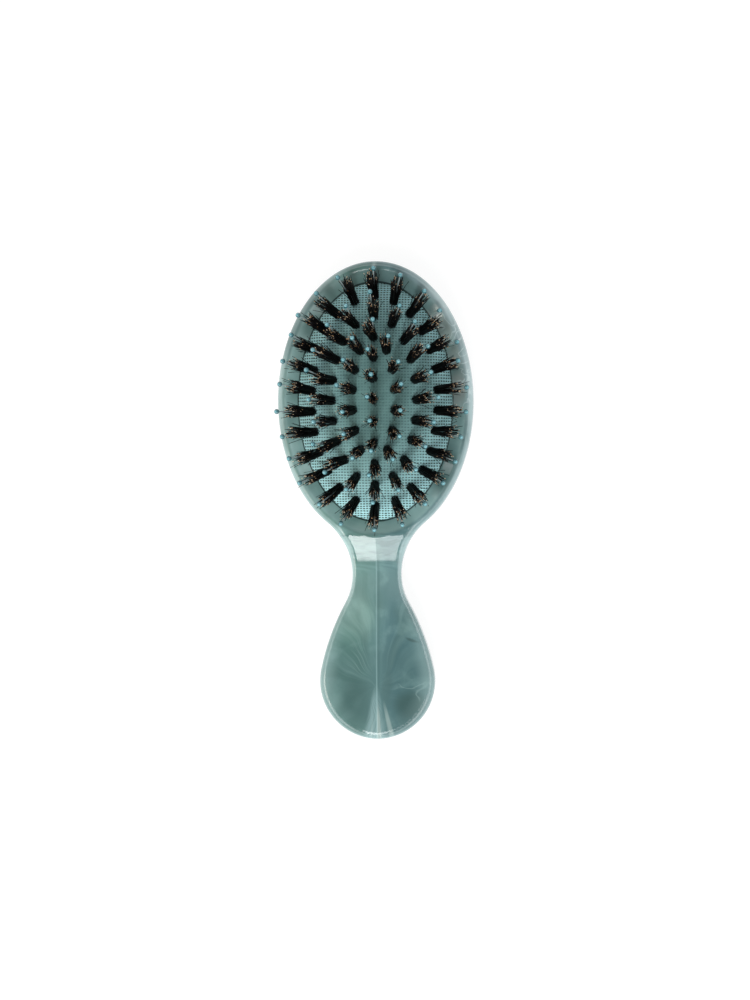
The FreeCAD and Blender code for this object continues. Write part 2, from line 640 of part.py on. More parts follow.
def check_and_write(nodes):
    """Stops on a broken object, then writes every node to its own file."""
    for made in doc.Objects:
        if {"Invalid", "Error"} & set(made.State):
            raise RuntimeError(f"{made.Name} is broken: {made.State}")
    os.makedirs("parts", exist_ok=True)
    for node in nodes:
        if not node.Shape.isValid():
            raise RuntimeError(f"{node.Name} has a shape that is not valid")
        node.Label = node.Name
        node.Shape.exportStep(f"parts/{node.Name}.step")
        print(node.Name, len(node.Shape.Solids), "solids", round(node.Shape.Volume), node.Shape.BoundBox)


fill_sheet()
handle = make_handle()
tuft = make_tuft()
quill = make_quill()
rows = tuft_rows()
drills = standing_copies("drills", make_drill(), [place for row in rows.values() for place in row])
finished = [
    handle,
    pierced("rubber_cushion", make_rubber(), drills),
    pierced("cloth_facing", make_cloth(), drills),
]
for row, places in rows.items():
    finished.append(standing_copies(f"bristle_tufts_{row}_row", tuft, places))
    finished.append(standing_copies(f"quills_{row}_row", quill, places))
doc.recompute()
check_and_write(finished)
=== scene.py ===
# Looks of a pocket hairbrush around its packed construction: marbled handle, cloth-faced cushion,
# bristle tufts and ball-tipped quills. Metres, in the construction's frame: +Z out of the bristles,
# +Y from the handle's end to the head.
import math
import random

import bmesh
import bpy
import numpy as np
from mathutils import Matrix, Vector


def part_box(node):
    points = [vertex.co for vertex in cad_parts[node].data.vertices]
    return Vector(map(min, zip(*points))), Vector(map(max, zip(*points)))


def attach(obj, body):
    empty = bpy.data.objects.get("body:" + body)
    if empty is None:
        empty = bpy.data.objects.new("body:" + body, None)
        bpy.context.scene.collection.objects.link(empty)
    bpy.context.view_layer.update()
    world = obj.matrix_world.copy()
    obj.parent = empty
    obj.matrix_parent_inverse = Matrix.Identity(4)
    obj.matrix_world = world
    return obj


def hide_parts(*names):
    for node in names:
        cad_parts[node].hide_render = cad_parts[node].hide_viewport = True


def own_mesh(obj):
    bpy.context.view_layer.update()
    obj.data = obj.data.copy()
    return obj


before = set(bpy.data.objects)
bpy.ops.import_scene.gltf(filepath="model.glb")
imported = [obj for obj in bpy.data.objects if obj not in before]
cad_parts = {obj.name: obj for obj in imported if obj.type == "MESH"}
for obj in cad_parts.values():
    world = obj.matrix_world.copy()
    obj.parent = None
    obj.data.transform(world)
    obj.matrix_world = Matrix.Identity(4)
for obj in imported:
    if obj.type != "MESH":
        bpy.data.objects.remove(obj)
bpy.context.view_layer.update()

MM = 0.001
ROWS = ("outer", "second", "third", "centre")
WHITE = "#ffffff"
WELD = 0.001 * MM  # corners of loose triangles nearer than this are one corner

# The handle's pattern, in millimetres.
DISH_RIM = 1.8  # rolled rim round the head's dish
GRIP_RADIUS = 16.9
GRIP_TAPER = 38  # the grip narrows upwards like an oval of this half length
JET_HEAD = 12  # the melt's jet ends this far above the handle's end and fans out from there
JET_FOOT = 20  # the blades of the jet spread down from this far above the handle's end
NECK = (-22, -6)  # between these heights the grip's pattern gives way to the head's
DRIFT_SCALE = 1 / 24
DRIFTS = (9, 18)  # ranges of the drift over the handle and in the fan
VEIL_SCALES = (1 / 6, 1 / 1.2, 1 / 6)

# Broad flow lines, streaks and hairs: their scales in the fan, by angle, distance and depth, and round the
# head, by share of the oval, angle and depth.
FLOW_SCALES = (
    ((2.6, 1 / 40, 1 / 14), (6, 1.5, 1 / 14)),
    ((9, 1 / 34, 1 / 9), (15, 2.4, 1 / 9)),
    ((36, 1 / 30, 1 / 5), (34, 3, 1 / 5)),
)

# Clouds of the marbling, and in the dish and on the rim painted reflections and painted shade: middle, half
# widths, the most of the colour, and the colour.
GRIP_LOBES = (
    ((-6, -58.5), (8, 8), 0.65, "#385754"),
    ((11, -60.5), (6.8, 5.5), 0.95, "#2f4d4b"),
    ((3.6, -56), (2.4, 7), 0.55, "#385754"),
    ((11, -41.5), (2.6, 0.6), 0.8, "#2f4d4b"),
    ((-6, -31), (0.9, 2.8), 0.3, "#385754"),
)
# In the dish: beige painted reflections at the right, a dark cloud below them and a pale one low down.
DISH_REFLECTIONS_AND_CLOUDS = (
    ((20.7, 49.3), (5, 5.5), 0.6, "#a5aea9"),
    ((24.5, 41.5), (4, 5), 0.55, "#a5aea9"),
    ((24, 31), (5, 7), 0.7, "#b4bdb9"),
    ((20, 9), (7, 10), 0.65, "#40605f"),
    ((0, -10), (14, 5), 0.4, "#9fc0bc"),
)
# On the rim: painted shade at the upper left and a pale cloud near the tip.
RIM_SHADE_AND_CLOUDS = (
    ((-19, 50), (13, 20), 0.6, "#4c6d6e"),
    ((12, 66), (8, 4), 0.35, "#a8c6ca"),
)

# Regions of the pattern: middle and half widths.
RIGHT_LOBE = ((11, -55.5), (7, 4))
LEFT_FAN = ((-6, -34), (10, 11))
RIGHT_RIM = ((24, 42), (8, 22))

# Pale blades of the jet: angle, half of the angle that they take up, distance at which they start, and the
# most of the colour.
JET_BLADES = ((0.03, 0.045, 8, 0.95), (0.22, 0.055, 8, 0.42), (-0.09, 0.03, 11, 0.22))

# The handle and the cushion, measured on the frame.
handle_low, handle_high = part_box("handle_body")
cloth_low, cloth_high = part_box("cloth_facing")
rubber_low, rubber_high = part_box("rubber_cushion")
CUSHION_MIDDLE = (cloth_low + cloth_high) / 2
CUSHION_HALF = (cloth_high - cloth_low) / 2
CUSHION_EDGE = cloth_low.z
CROWN = cloth_high.z - cloth_low.z

# The cushion's dome is an ellipsoid cut off at this latitude.
DOME_LATITUDE = math.radians(45)
DOME_RADII = Vector((
    CUSHION_HALF.x / math.cos(DOME_LATITUDE),
    CUSHION_HALF.y / math.cos(DOME_LATITUDE),
    CROWN / (1 - math.sin(DOME_LATITUDE)),
))
DOME_MIDDLE = Vector((CUSHION_MIDDLE.x, CUSHION_MIDDLE.y, cloth_high.z - DOME_RADII.z))

# Cushion
DOME_STEPS = 200  # rings of the whole ellipsoid, of which the dome keeps a quarter
DOME_SECTORS = 176
CLOTH_THICKNESS = 0.4 * MM
CLOTH_TUCK = 0.9 * MM  # the cloth's edge goes this far down beside the skirt
DIMPLE_DEPTH = 0.25 * MM
DIMPLE_RADIUS = 1.6 * MM
RUBBER_INSET = 1.5 * CLOTH_THICKNESS  # keeps the rubber clear of the cloth's inner side
RUBBER_THICKNESS = 1.5 * MM
BEAD_HEIGHT = 1.6 * MM

# Bristles
TUFT_MASTERS = 5
STRANDS = 92
STRAYS = 5
STRAND_RADIUS = 0.1 * MM
STRAND_TAPER_SHARE = 0.85
STRAND_CUTS = 3
QUILL_ROOM = 0.4 * MM  # no bristle is bound nearer to the tuft's middle
BENDS = (1.4, 2.4)  # powers of the height by which bristles leave the upright
TIP_SPREADS = (0.8, 1.1)  # shares of the tuft's spread
TIP_SCATTER = 1 / 8  # of the tuft's spread
TIP_TOP = 1.04  # the tallest bristles, as a share of the tuft's height
TIP_RAGGED = 0.4  # how far the shortest stay below them
TIP_RAGGED_POWER = 1.7  # few are much shorter
TIP_ROUND = 0.06  # the outermost stay this much lower
STRAY_SPREADS = (1.2, 1.8)  # shares of the tuft's spread
STRAY_TOPS = (0.8, 1.08)  # shares of the tuft's height
TUFT_LEAN = math.radians(2.5)
SEED = 11

# Quills
SHAFT_ROOT_RADIUS = 0.24 * MM
SHAFT_TIP_RADIUS = 0.17 * MM
FOOT_THICKNESS = 0.8 * MM
FOOT_BEVEL = 0.25 * MM
ROUND_SEGMENTS = 14
QUILL_LEAN = math.radians(2.2)

# Camera: the picture's frame holds this length of the plane of the rim, from this distance.
FRAME_LENGTH = 291.7 * MM
CAMERA_DISTANCE = 600 * MM
CAMERA_ASIDE = math.radians(3.7)
CAMERA_ROLL = math.radians(0.36)
CAMERA_SHIFT = -0.15 * MM  # of the place that it looks at, from the brush's middle line
SENSOR = 36

# Floor
FLOOR_REACH = 2
FLOOR_GAP = 0.2 * MM  # the floor's sheet and the flat back are not one surface
FLOOR_GLOW = 0.9

# Light tent, by height of the direction: from, to, and the glow at each. The first is the walls' light, the
# others what shows in gloss, which rises from the floor and falls again to the ceiling.
TENT_RAMPS = ((0.2, 0.5, 0.68, 0.31), (0, 0.4, 1.0, 4.2), (0.4, 0.75, 4.2, 0.5))

# Softboxes: place, width, height, radiance and colour. Two beyond the handle, leaned over by this angle,
# show in the neck; low ones and a strip show in the rolled edges; a warm one stands at the left.
FRONT_LEAN = math.radians(34)
SOFTBOXES = {
    "front_left_softbox": ((-0.15, -math.sin(FRONT_LEAN), math.cos(FRONT_LEAN)), 0.18, 0.5, 12.8, WHITE),
    "front_right_softbox": ((0.03, -math.sin(FRONT_LEAN), math.cos(FRONT_LEAN)), 0.18, 0.5, 8.0, WHITE),
    "low_left_softbox": ((-0.6, -0.6, 0.54), 0.5, 0.4, 1.8, WHITE),
    "low_right_softbox": ((0.6, -0.6, 0.54), 0.5, 0.4, 1.8, WHITE),
    "right_strip": ((0.32, -0.46, 0.83), 0.5, 0.05, 8.0, WHITE),
    "left_softbox": ((-0.8, -0.25, 0.54), 0.5, 0.25, 5.0, "#fff0dd"),
}


def linear(hex_colour):
    """An sRGB hex colour as linear RGBA."""
    channels = [int(hex_colour[place:place + 2], 16) / 255 for place in (1, 3, 5)]
    return [c / 12.92 if c <= 0.04045 else ((c + 0.055) / 1.055) ** 2.4 for c in channels] + [1]


def add(tree, kind, inputs, **settings):
    """Adds a node with its settings and returns its outputs; an input is a value or another node's output."""
    node = tree.nodes.new(f"ShaderNode{kind}")
    for name, setting in settings.items():
        setattr(node, name, setting)
    for socket, given in inputs.items():
        if isinstance(given, bpy.types.NodeSocket):
            tree.links.new(given, node.inputs[socket])
        else:
            node.inputs[socket].default_value = given
    return node.outputs


def new_material(name, finish):
    """A material whose shader has these constant values, with its node tree and shader."""
    material = bpy.data.materials.new(name)
    material.use_nodes = True
    shader = material.node_tree.nodes["Principled BSDF"]
    for socket, given in finish.items():
        shader.inputs[socket].default_value = given
    return material, material.node_tree, shader


def oval_reach(tree, point, middle, half=(1, 1)):
    """Offset from a middle, as shares of the half widths of an oval, and its length seen from the front.

    The middle may leave out its height, which is then 0.
    """
    offset = add(tree, "VectorMath", {0: point, 1: (*middle, 0)[:3]}, operation="SUBTRACT")[0]
    offset = add(tree, "VectorMath", {0: offset, 1: (*half, 1)}, operation="DIVIDE")[0]
    flat = add(tree, "VectorMath", {0: offset, 1: (1, 1, 0)}, operation="MULTIPLY")[0]
    return offset, add(tree, "VectorMath", {0: flat}, operation="LENGTH")["Value"]


def band(value, middle, edge, full):
    """Two rises that leave a band about a middle: nothing beyond its edge, all within its full half width."""
    return (value, middle - edge, middle - full), (value, middle + edge, middle + full)


def marbled_plastic():
    """Injection-moulded acrylic with pearl masterbatch, polished: cloudy teal with pale flow lines.

    The melt jets up the handle's middle, fans out from there and runs round both sides of the head.
    All lengths in the pattern are millimetres.
    """
    material, tree, shader = new_material("moulded_pearl_acrylic", {"Roughness": 0.1, "IOR": 1.49})
    end = handle_low.y / MM
    tip = handle_high.y / MM
    head_middle = [value / MM for value in CUSHION_MIDDLE]
    head_half = [(handle_high[side] - CUSHION_MIDDLE[side]) / MM for side in (0, 1)]
    dish_half = [half - DISH_RIM for half in head_half]
    seam_half = [half / MM for half in CUSHION_HALF[:2]]

    place = add(tree, "TexCoord", {})
    spot = add(tree, "VectorMath", {0: place["Object"], 1: (1 / MM,) * 3}, operation="MULTIPLY")[0]
    x, y, z = add(tree, "SeparateXYZ", {0: spot})
    beside = add(tree, "Math", {0: x}, operation="ABSOLUTE")[0]
    facing = add(tree, "SeparateXYZ", {0: place["Normal"]})[2]

    # The melt wandered as it set: places in the pattern drift, and those of the fan drift further.
    drift = add(tree, "TexNoise", {"Vector": spot, "Scale": DRIFT_SCALE, "Detail": 2})["Color"]
    drift = add(tree, "VectorMath", {0: drift, 1: (0.5,) * 3}, operation="SUBTRACT")[0]
    drifted, swept = [
        add(tree, "VectorMath", {0: drift, 1: (length,) * 3, 2: spot}, operation="MULTIPLY_ADD")[0]
        for length in DRIFTS
    ]

    # On the grip the flow lines fan out from the head of the jet, on the head they run round its oval.
    from_jet, jet_reach = oval_reach(tree, swept, (0, end + JET_HEAD))
    jet_x, jet_y, jet_z = add(tree, "SeparateXYZ", {0: from_jet})
    jet_angle = add(tree, "Math", {0: jet_x, 1: jet_y}, operation="ARCTAN2")[0]
    fan = add(tree, "CombineXYZ", {0: jet_angle, 1: jet_reach, 2: jet_z})[0]
    from_head, head_reach = oval_reach(tree, drifted, head_middle, head_half)
    head_x, head_y, head_z = add(tree, "SeparateXYZ", {0: from_head})
    head_angle = add(tree, "Math", {0: head_x, 1: head_y}, operation="ARCTAN2")[0]
    ring = add(tree, "CombineXYZ", {0: head_reach, 1: head_angle, 2: head_z})[0]
    neck = {"Value": y, "From Min": NECK[0], "From Max": NECK[1]}
    head_share = add(tree, "MapRange", neck, interpolation_type="SMOOTHSTEP")[0]
    flows = []
    for fan_scale, ring_scale in FLOW_SCALES:
        fanned = add(tree, "VectorMath", {0: fan, 1: fan_scale}, operation="MULTIPLY")[0]
        ringed = add(tree, "VectorMath", {0: ring, 1: ring_scale}, operation="MULTIPLY")[0]
        flow = add(tree, "Mix", {0: head_share, 4: fanned, 5: ringed}, data_type="VECTOR")[1]
        flows.append(add(tree, "TexNoise", {"Vector": flow, "Scale": 1, "Detail": 3})[0])
    broad, streaks, hairs = flows

    # Clouds and wisps, veils across the neck, and curls, which are the middle values of a twisted noise.
    veiled = add(tree, "VectorMath", {0: drifted, 1: VEIL_SCALES}, operation="MULTIPLY")[0]
    clouds, wisps, veils, curls = [
        add(tree, "TexNoise", {"Vector": point, "Scale": scale, "Detail": detail, "Distortion": twist})[0]
        for point, scale, detail, twist in (
            (drifted, 1 / 15, 3, 0),
            (drifted, 1 / 7, 4, 0),
            (veiled, 1, 3, 0),
            (spot, 1 / 8, 2, 1.5),
        )
    ]

    # The grip's outline is a circle below its middle and a long oval above.
    above = add(tree, "Math", {0: y, 1: end + GRIP_RADIUS}, operation="SUBTRACT")[0]
    tapered = add(tree, "Math", {0: above, 1: GRIP_TAPER}, operation="DIVIDE")[0]
    rounded = add(tree, "Math", {0: above, 1: -GRIP_RADIUS}, operation="DIVIDE")[0]
    along = add(tree, "Math", {0: tapered, 1: rounded}, operation="MAXIMUM")[0]
    across = add(tree, "Math", {0: x, 1: GRIP_RADIUS}, operation="DIVIDE")[0]
    shares = add(tree, "CombineXYZ", {0: across, 1: along})[0]
    grip_edge = add(tree, "VectorMath", {0: shares}, operation="LENGTH")["Value"]

    # A rise is a value, where it starts from nothing and where it is full.
    front = (z, 5, 8)
    on_head = (y, *NECK)
    above_jet = (*band(jet_angle, 0, 1.4, 0.7), (jet_reach, 2, 10))
    on_ridge = (front, (y, -15, -18))
    dish = oval_reach(tree, spot, head_middle, dish_half)[1]
    in_dish = ((dish, 1, 0.97), front)
    past_dish = ((dish, 0.97, 1), front)
    rim = oval_reach(tree, spot, head_middle, head_half)[1]
    seam = oval_reach(tree, spot, head_middle, seam_half)[1]
    right_lobe = oval_reach(tree, spot, *RIGHT_LOBE)[1]
    left_fan = oval_reach(tree, drifted, *LEFT_FAN)[1]
    right_rim = oval_reach(tree, spot, *RIGHT_RIM)[1]
    down, blade_reach = oval_reach(tree, spot, (0, end + JET_FOOT), (1, -1))
    blade_x, blade_y, _ = add(tree, "SeparateXYZ", {0: down})
    blade_angle = add(tree, "Math", {0: blade_x, 1: blade_y}, operation="ARCTAN2")[0]
    # Pale clouds of painted reflection for the dish.
    wall = {"Value": clouds, "From Min": 0.35, "From Max": 0.6, "To Min": 0.45, "To Max": 0.9}
    painted_dish_sheen = add(tree, "MapRange", wall, interpolation_type="SMOOTHSTEP")[0]

    # Each layer is a colour, the most of it that is laid over those before, and the rises that lead up to it.
    layers = [
        # Cloudy, greener on the left, with pale and dark flow lines.
        ("#557e77", 1, (x, 5, -5)),
        ("#40605b", 0.55, (clouds, 0.52, 0.3)),
        ("#90b6b3", 0.35, (wisps, 0.5, 0.75)),
        ("#8fb6b6", 0.3, (broad, 0.48, 0.75)),
        ("#42615c", 0.34, (broad, 0.47, 0.28)),
        ("#9bc1bf", 0.16, (streaks, 0.5, 0.8), *above_jet),
    ]
    # Dark lobes and slits where the fan folds under, low on the grip.
    for middle, half, most, colour in GRIP_LOBES:
        layers.append((colour, most, (oval_reach(tree, drifted, middle, half)[1], 1, 0.3)))
    layers += [
        # Ragged wisps over the right lobe, and hair-fine pale barbs of the fan, on the left above the jet.
        ("#bfe0de", 0.26, *band(curls, 0.5, 0.06, 0.004), (right_lobe, 1, 0.5)),
        ("#b3d7d4", 0.42, (jet_reach, 20, 8), (jet_angle, -0.2, -0.5), (hairs, 0.45, 0.75), *above_jet),
        # The jet itself, streaky, with pale blades in it.
        (
            "#b4d6d8", 0.75, *band(blade_angle, -0.03, 0.21, 0.08), (blade_reach, 3, 9),
            (hairs, 0.2, 0.6), front,
        ),
    ]
    for angle, half, reach, most in JET_BLADES:
        blade = band(blade_angle, angle, half, half / 3)
        layers.append(("#e8faf3", most, *blade, (blade_reach, reach, reach + 6), front))
    layers += [
        # Paler along the middle and towards the neck, darker low on the grip.
        ("#93bbc0", 0.22, *band(x, 0, 7, 0), (y, end + 45, end + 18)),
        ("#8fb4b0", 0.14, *band(y, -19.5, 28, 6)),
        ("#a5c8c0", 0.34, (left_fan, 1, 0.3), (streaks, 0.2, 0.65)),
        ("#3f6060", 0.5, (y, -36, -48), front),
        ("#426869", 0.8, (veils, 0.5, 0.33), *band(y, -13.5, 5, 3)),
        # In the dish, painted reflection as pale clouds towards its sides, and painted shade at its top end.
        ("#a8cecb", painted_dish_sheen, (beside, -12, 24), *in_dish),
        ("#44595b", 0.42, (y, head_middle[1] + 20, tip - 3), *in_dish),
        # Paler again where light comes through the rolled edge.
        ("#c3e3e4", 0.46, (facing, 0.98, 0.3), *past_dish),
        ("#d2eeee", 0.45, (facing, 0.99, 0.6), *band(y, -20, 14, 6), front),
        (
            "#e1f8fa", 0.8, (rim, 0.88, 1), (beside, 6, 20), (broad, 0.2, 0.62),
            (y, -25, 34), (x, -90, 30), on_head, front,
        ),
        ("#bcdcdb", 0.34, (grip_edge, 0.6, 1), (y, -16, -30), (y, -69, -52)),
    ]
    # Painted reflections, beige, in the dish at the right with a dark cloud below them, and clouds on the
    # rim, where the dark one at the upper left is painted shade.
    for table, where in ((DISH_REFLECTIONS_AND_CLOUDS, in_dish), (RIM_SHADE_AND_CLOUDS, past_dish)):
        for middle, half, most, colour in table:
            layers.append((colour, most, (oval_reach(tree, drifted, middle, half)[1], 1, 0.4), *where))
    layers += [
        # White curls over the rim.
        ("#e1f3f3", 0.5, *band(curls, 0.5, 0.03, 0.002), (right_rim, 1, 0.6), (dish, 0.86, 0.95)),
        # A painted highlight along the ridge with painted shade just to its right; the two streams meet at
        # the tip of the head.
        ("#456666", 0.3, *band(x, 0.55, 0.6, 0.1), *on_ridge),
        ("#bce0e1", 0.2, *band(x, 0, 0.3, 0.08), *on_ridge),
        ("#d6f0ef", 0.3, *band(x, 0, 1, 0.1), (y, tip - 5, tip - 2)),
        # A dark line of painted shade where the dish ends at the cushion.
        ("#172322", 0.75, (seam, 1.019, 1.011), front),
    ]
    body = linear("#486e73")
    for colour, share, *rises in layers:
        for value, start, full in rises:
            rise = {"Value": value, "From Min": start, "From Max": full, "To Max": share}
            share = add(tree, "MapRange", rise, interpolation_type="SMOOTHSTEP")[0]
        body = add(tree, "Mix", {0: share, 6: body, 7: linear(colour)}, data_type="RGBA")[2]
    tree.links.new(body, shader.inputs["Base Color"])

    # A moulded surface is never quite flat: reflections waver a little.
    sunk = add(tree, "VectorMath", {0: spot, 1: (0.5, 1, 1)}, operation="MULTIPLY")[0]
    sunk = add(tree, "TexNoise", {"Vector": sunk, "Scale": 1 / 6, "Detail": 1})[0]
    bump = add(tree, "Bump", {"Height": sunk, "Strength": 0.25, "Distance": 0.22 * MM})[0]
    tree.links.new(bump, shader.inputs["Normal"])
    return material


def woven_cloth():
    """Plain-woven nylon facing: light teal threads with a dark gap in every mesh, dull, with a soft sheen."""
    thread_pitch = 0.9
    wander_scale = 0.35
    gap_share = 0.27
    gap_edges = (0.05, 0.07)  # how softly a gap ends, outwards and inwards
    gap_aspect = 1.2  # the gaps are wider than tall
    tone_scale = 0.8
    material, tree, shader = new_material(
        "woven_nylon", {"Roughness": 0.75, "Sheen Weight": 0.2, "Sheen Roughness": 0.5, "IOR": 1.45}
    )
    grid = add(tree, "UVMap", {}, uv_map="cloth_mm")[0]
    meshes = add(tree, "VectorMath", {0: grid, 1: (1 / thread_pitch,) * 3}, operation="MULTIPLY")[0]
    wander = add(tree, "TexNoise", {"Vector": grid, "Scale": wander_scale, "Detail": 2})["Color"]
    meshes = add(
        tree, "VectorMath", {0: wander, 1: (0.5, 0.5, 0), 2: meshes}, operation="MULTIPLY_ADD"
    )[0]
    inside = add(tree, "VectorMath", {0: meshes}, operation="FRACTION")[0]
    inside = add(tree, "VectorMath", {0: inside, 1: (0.5,) * 3}, operation="SUBTRACT")[0]
    inside = add(tree, "VectorMath", {0: inside}, operation="ABSOLUTE")[0]
    across, along, _ = add(tree, "SeparateXYZ", {0: inside})
    across = add(tree, "Math", {0: across, 1: gap_aspect}, operation="DIVIDE")[0]
    along = add(tree, "Math", {0: along, 1: gap_aspect}, operation="MULTIPLY")[0]
    square = add(tree, "Math", {0: across, 1: along}, operation="MAXIMUM")[0]
    gap = add(
        tree,
        "MapRange",
        {"Value": square, "From Min": gap_share + gap_edges[0], "From Max": gap_share - gap_edges[1]},
        interpolation_type="SMOOTHSTEP",
    )[0]

    # Towards the crown the threads turn darker and greyer, painted shade of the bristles around it, and the
    # gaps fade out.
    place = add(tree, "TexCoord", {})["Object"]
    height = add(tree, "SeparateXYZ", {0: place})[2]
    crown = add(
        tree,
        "MapRange",
        {"Value": height, "From Min": CUSHION_EDGE + CROWN / 4, "From Max": cloth_high.z},
    )[0]
    uneven = add(tree, "TexNoise", {"Vector": grid, "Scale": tone_scale, "Detail": 4})[0]
    threads = add(tree, "Mix", {0: uneven, 6: linear("#82b7b9"), 7: linear("#bbecef")}, data_type="RGBA")[2]
    threads = add(tree, "Mix", {0: crown, 6: threads, 7: linear("#74a29f")}, data_type="RGBA")[2]
    depth = add(tree, "MapRange", {"Value": crown, "To Min": 1.0, "To Max": 0.22})[0]
    depth = add(tree, "Math", {0: depth, 1: gap}, operation="MULTIPLY")[0]
    cloth = add(tree, "Mix", {0: depth, 6: threads, 7: linear("#122a2b")}, data_type="RGBA")[2]
    tree.links.new(cloth, shader.inputs["Base Color"])
    raised = add(tree, "Math", {0: 1.0, 1: gap}, operation="SUBTRACT")[0]
    bump = add(tree, "Bump", {"Height": raised, "Strength": 0.7, "Distance": 0.12 * MM})[0]
    tree.links.new(bump, shader.inputs["Normal"])
    return material


def natural_rubber():
    """Moulded rubber: dull, slightly dusty, grey-green."""
    material, tree, shader = new_material("moulded_rubber", {"Roughness": 0.7, "IOR": 1.52})
    spot = add(tree, "TexCoord", {})["Object"]
    dust = add(tree, "TexNoise", {"Vector": spot, "Scale": 1 / (1.5 * MM), "Detail": 4})[0]
    skin = add(tree, "Mix", {0: dust, 6: linear("#597b77"), 7: linear("#7fa29c")}, data_type="RGBA")[2]
    tree.links.new(skin, shader.inputs["Base Color"])
    return material


def boar_bristle():
    """Stiff boar bristle: black, with pale split tips on some strands."""
    pale_share = 0.36
    tip_share = 0.035
    material, tree, shader = new_material(
        "boar_bristle", {"Roughness": 0.5, "IOR": 1.45, "Specular IOR Level": 0.12}
    )
    strand = add(tree, "UVMap", {}, uv_map="strand")[0]
    chance, along, _ = add(tree, "SeparateXYZ", {0: strand})
    pale = add(tree, "Math", {0: chance, 1: 1 - pale_share}, operation="GREATER_THAN")[0]
    end = add(tree, "Math", {0: along, 1: 1 - tip_share}, operation="GREATER_THAN")[0]
    flag = add(tree, "Math", {0: pale, 1: end}, operation="MULTIPLY")[0]
    tone = add(tree, "MapRange", {"Value": chance, "From Min": 1 - pale_share})[0]
    tips = add(tree, "Mix", {0: tone, 6: linear("#c99a66"), 7: linear("#fdeed4")}, data_type="RGBA")[2]
    hair = add(tree, "Mix", {0: flag, 6: linear("#080707"), 7: tips}, data_type="RGBA")[2]
    tree.links.new(hair, shader.inputs["Base Color"])
    return material


def tinted_nylon():
    """Moulded nylon ball, tinted teal and a little clear: glossy, with painted light at its top and painted
    shade deepening it towards its sides.
    """
    material, tree, shader = new_material(
        "tinted_nylon", {"Roughness": 0.2, "IOR": 1.53, "Transmission Weight": 0.25}
    )
    side = add(tree, "UVMap", {}, uv_map="ball")[0]
    side = add(tree, "SeparateXYZ", {0: side})[0]
    # Painted shade towards the ball's sides, painted light at its top.
    painted_side_shade = add(
        tree,
        "MapRange",
        {"Value": side, "From Min": 0.25, "From Max": 0.9},
        interpolation_type="SMOOTHSTEP",
    )[0]
    tint = add(tree, "Mix", {0: painted_side_shade, 6: linear("#78bfca"), 7: linear("#33737c")}, data_type="RGBA")[2]
    tree.links.new(tint, shader.inputs["Base Color"])
    return material


def clear_nylon():
    """Drawn nylon shaft, nearly clear and grey."""
    material, tree, shader = new_material(
        "clear_nylon",
        {"Roughness": 0.4, "IOR": 1.53, "Transmission Weight": 0.4, "Specular IOR Level": 0.25},
    )
    spot = add(tree, "TexCoord", {})["Object"]
    cloud = add(tree, "TexNoise", {"Vector": spot, "Scale": 1 / (2.5 * MM), "Detail": 2})[0]
    tint = add(tree, "Mix", {0: cloud, 6: linear("#6f8486"), 7: linear("#93a6a8")}, data_type="RGBA")[2]
    tree.links.new(tint, shader.inputs["Base Color"])
    return material


def solids_of(node):
    """The separate solids of a CAD node, each as an array of its corners."""
    shape = bmesh.new()
    shape.from_mesh(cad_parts[node].data)
    bmesh.ops.remove_doubles(shape, verts=shape.verts, dist=WELD)
    found = []
    seen = set()
    for first in shape.verts:
        if first in seen:
            continue
        seen.add(first)
        waiting = [first]
        corners = []
        while waiting:
            corner = waiting.pop()
            corners.append(tuple(corner.co))
            beside = {edge.other_vert(corner) for edge in corner.link_edges} - seen
            seen |= beside
            waiting += beside
        found.append(np.array(corners))
    shape.free()
    return found


def stands_of(row):
    """Where the quills of a row stand: their places on the dome, turned so that Z runs along the quill."""
    radii = np.array(DOME_RADII)
    stands = []
    for corners in solids_of(f"quills_{row}_row"):
        centre = corners.mean(axis=0)
        axis = np.linalg.svd(corners - centre)[2][0]
        axis *= np.sign(axis[2])
        offset = (centre - np.array(DOME_MIDDLE)) / radii
        direction = axis / radii
        along = direction @ direction
        halfway = offset @ direction
        reach = (-halfway + math.sqrt(halfway**2 - along * (offset @ offset - 1))) / along
        turn = Vector(axis).to_track_quat("Z", "Y").to_matrix().to_4x4()
        stands.append(Matrix.Translation(centre + axis * reach) @ turn)
    return sorted(stands, key=lambda stand: tuple(round(value, 5) for value in stand.translation))


def reach_of(node, stand):
    """Lowest and highest place, and the radius at the foot and in the upper half, of the solid at a stand."""
    inverse = np.array(stand.inverted())
    solids = [corners @ inverse[:3, :3].T + inverse[:3, 3] for corners in solids_of(node)]
    nearest = min(solids, key=lambda corners: np.hypot(*corners.mean(axis=0)[:2]))
    heights = nearest[:, 2]
    low, high = heights.min(), heights.max()
    radii = np.hypot(nearest[:, 0], nearest[:, 1])
    return low, high, radii[heights < low + WELD].max(), radii[heights > (low + high) / 2].max()


def finish_piece(name, shape, materials, body, slot, *nodes):
    """Turns a bmesh into a smooth piece that rides on a body and stands for CAD nodes."""
    for face in shape.faces:
        face.smooth = True
    mesh = bpy.data.meshes.new(name)
    shape.to_mesh(mesh)
    shape.free()
    for material in materials:
        mesh.materials.append(material)
    piece = bpy.data.objects.new(name, mesh)
    bpy.context.scene.collection.objects.link(piece)
    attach(piece, body)
    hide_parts(*nodes)
    return piece


def keep_mesh(name, shape):
    """A mesh made from a bmesh, to be copied into others."""
    mesh = bpy.data.meshes.new(name)
    shape.to_mesh(mesh)
    shape.free()
    return mesh


